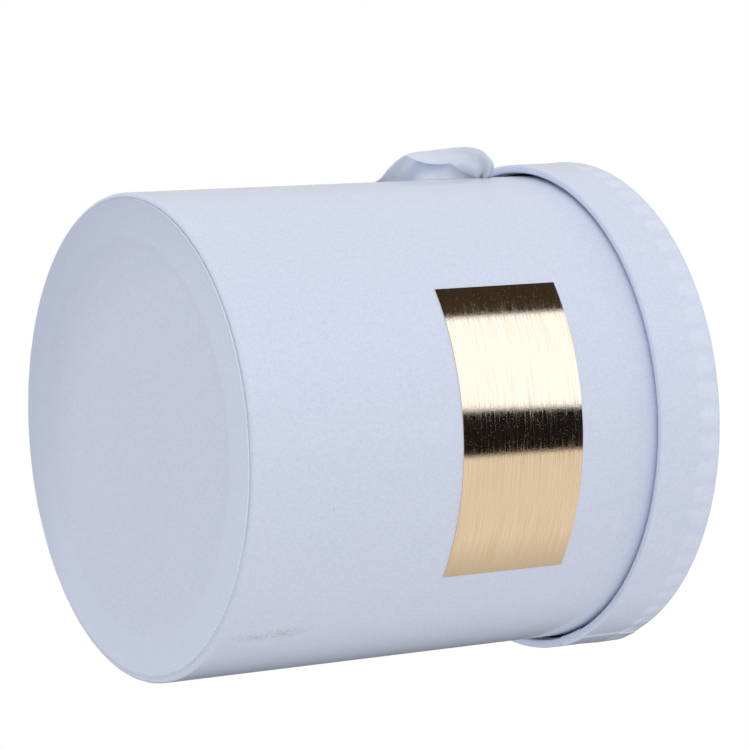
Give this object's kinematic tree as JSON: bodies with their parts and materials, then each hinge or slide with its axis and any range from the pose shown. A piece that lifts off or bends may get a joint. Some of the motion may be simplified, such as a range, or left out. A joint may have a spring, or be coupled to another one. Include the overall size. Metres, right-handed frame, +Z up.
{
  "type": "cylindrical gift box",
  "caption": "Round rigid paper box with a lift-off lid, a foil label on its side and a satin ribbon handle threaded through two holes under the lid.",
  "frame": {"origin": "centre of the flat face that the box stands on", "axes": "+Z up along the box's axis, -Y towards the label, +X to the right of the label seen from the front"},
  "size_m": [0.1665, 0.1729, 0.1642],
  "materials": {
    "white_paper": "matte uncoated, fine fibre",
    "lining_paper": "matte smooth",
    "grey_board": "raw grey board",
    "gold_foil": "brushed metallised gold film on paper",
    "white_satin": "satin weave"
  },
  "bodies": {
    "box_body": {"body_tube": "grey_board", "body_wrap": "white_paper", "body_lining": "lining_paper", "base_board": "grey_board", "base_cover": "white_paper", "base_lining": "lining_paper", "foil_label": "gold_foil"},
    "lid": {"lid_ring": "grey_board", "lid_board": "grey_board", "lid_top_paper": "white_paper", "lid_wrap": "white_paper", "lid_ring_lining": "lining_paper", "lid_top_lining": "lining_paper"},
    "ribbon": {"ribbon_handle": "white_satin"}
  },
  "joints": [
    {"name": "lid_lift", "type": "slide", "parent": "box_body", "child": "lid", "axis": [0, 0, 1], "range_m": [0, 0.07]},
    {"name": "ribbon_swing", "type": "hinge", "parent": "box_body", "child": "ribbon", "pos_m": [0, 0, 0.1293], "axis": [1, 0, 0], "range_deg": [0, 270]}
  ]
}
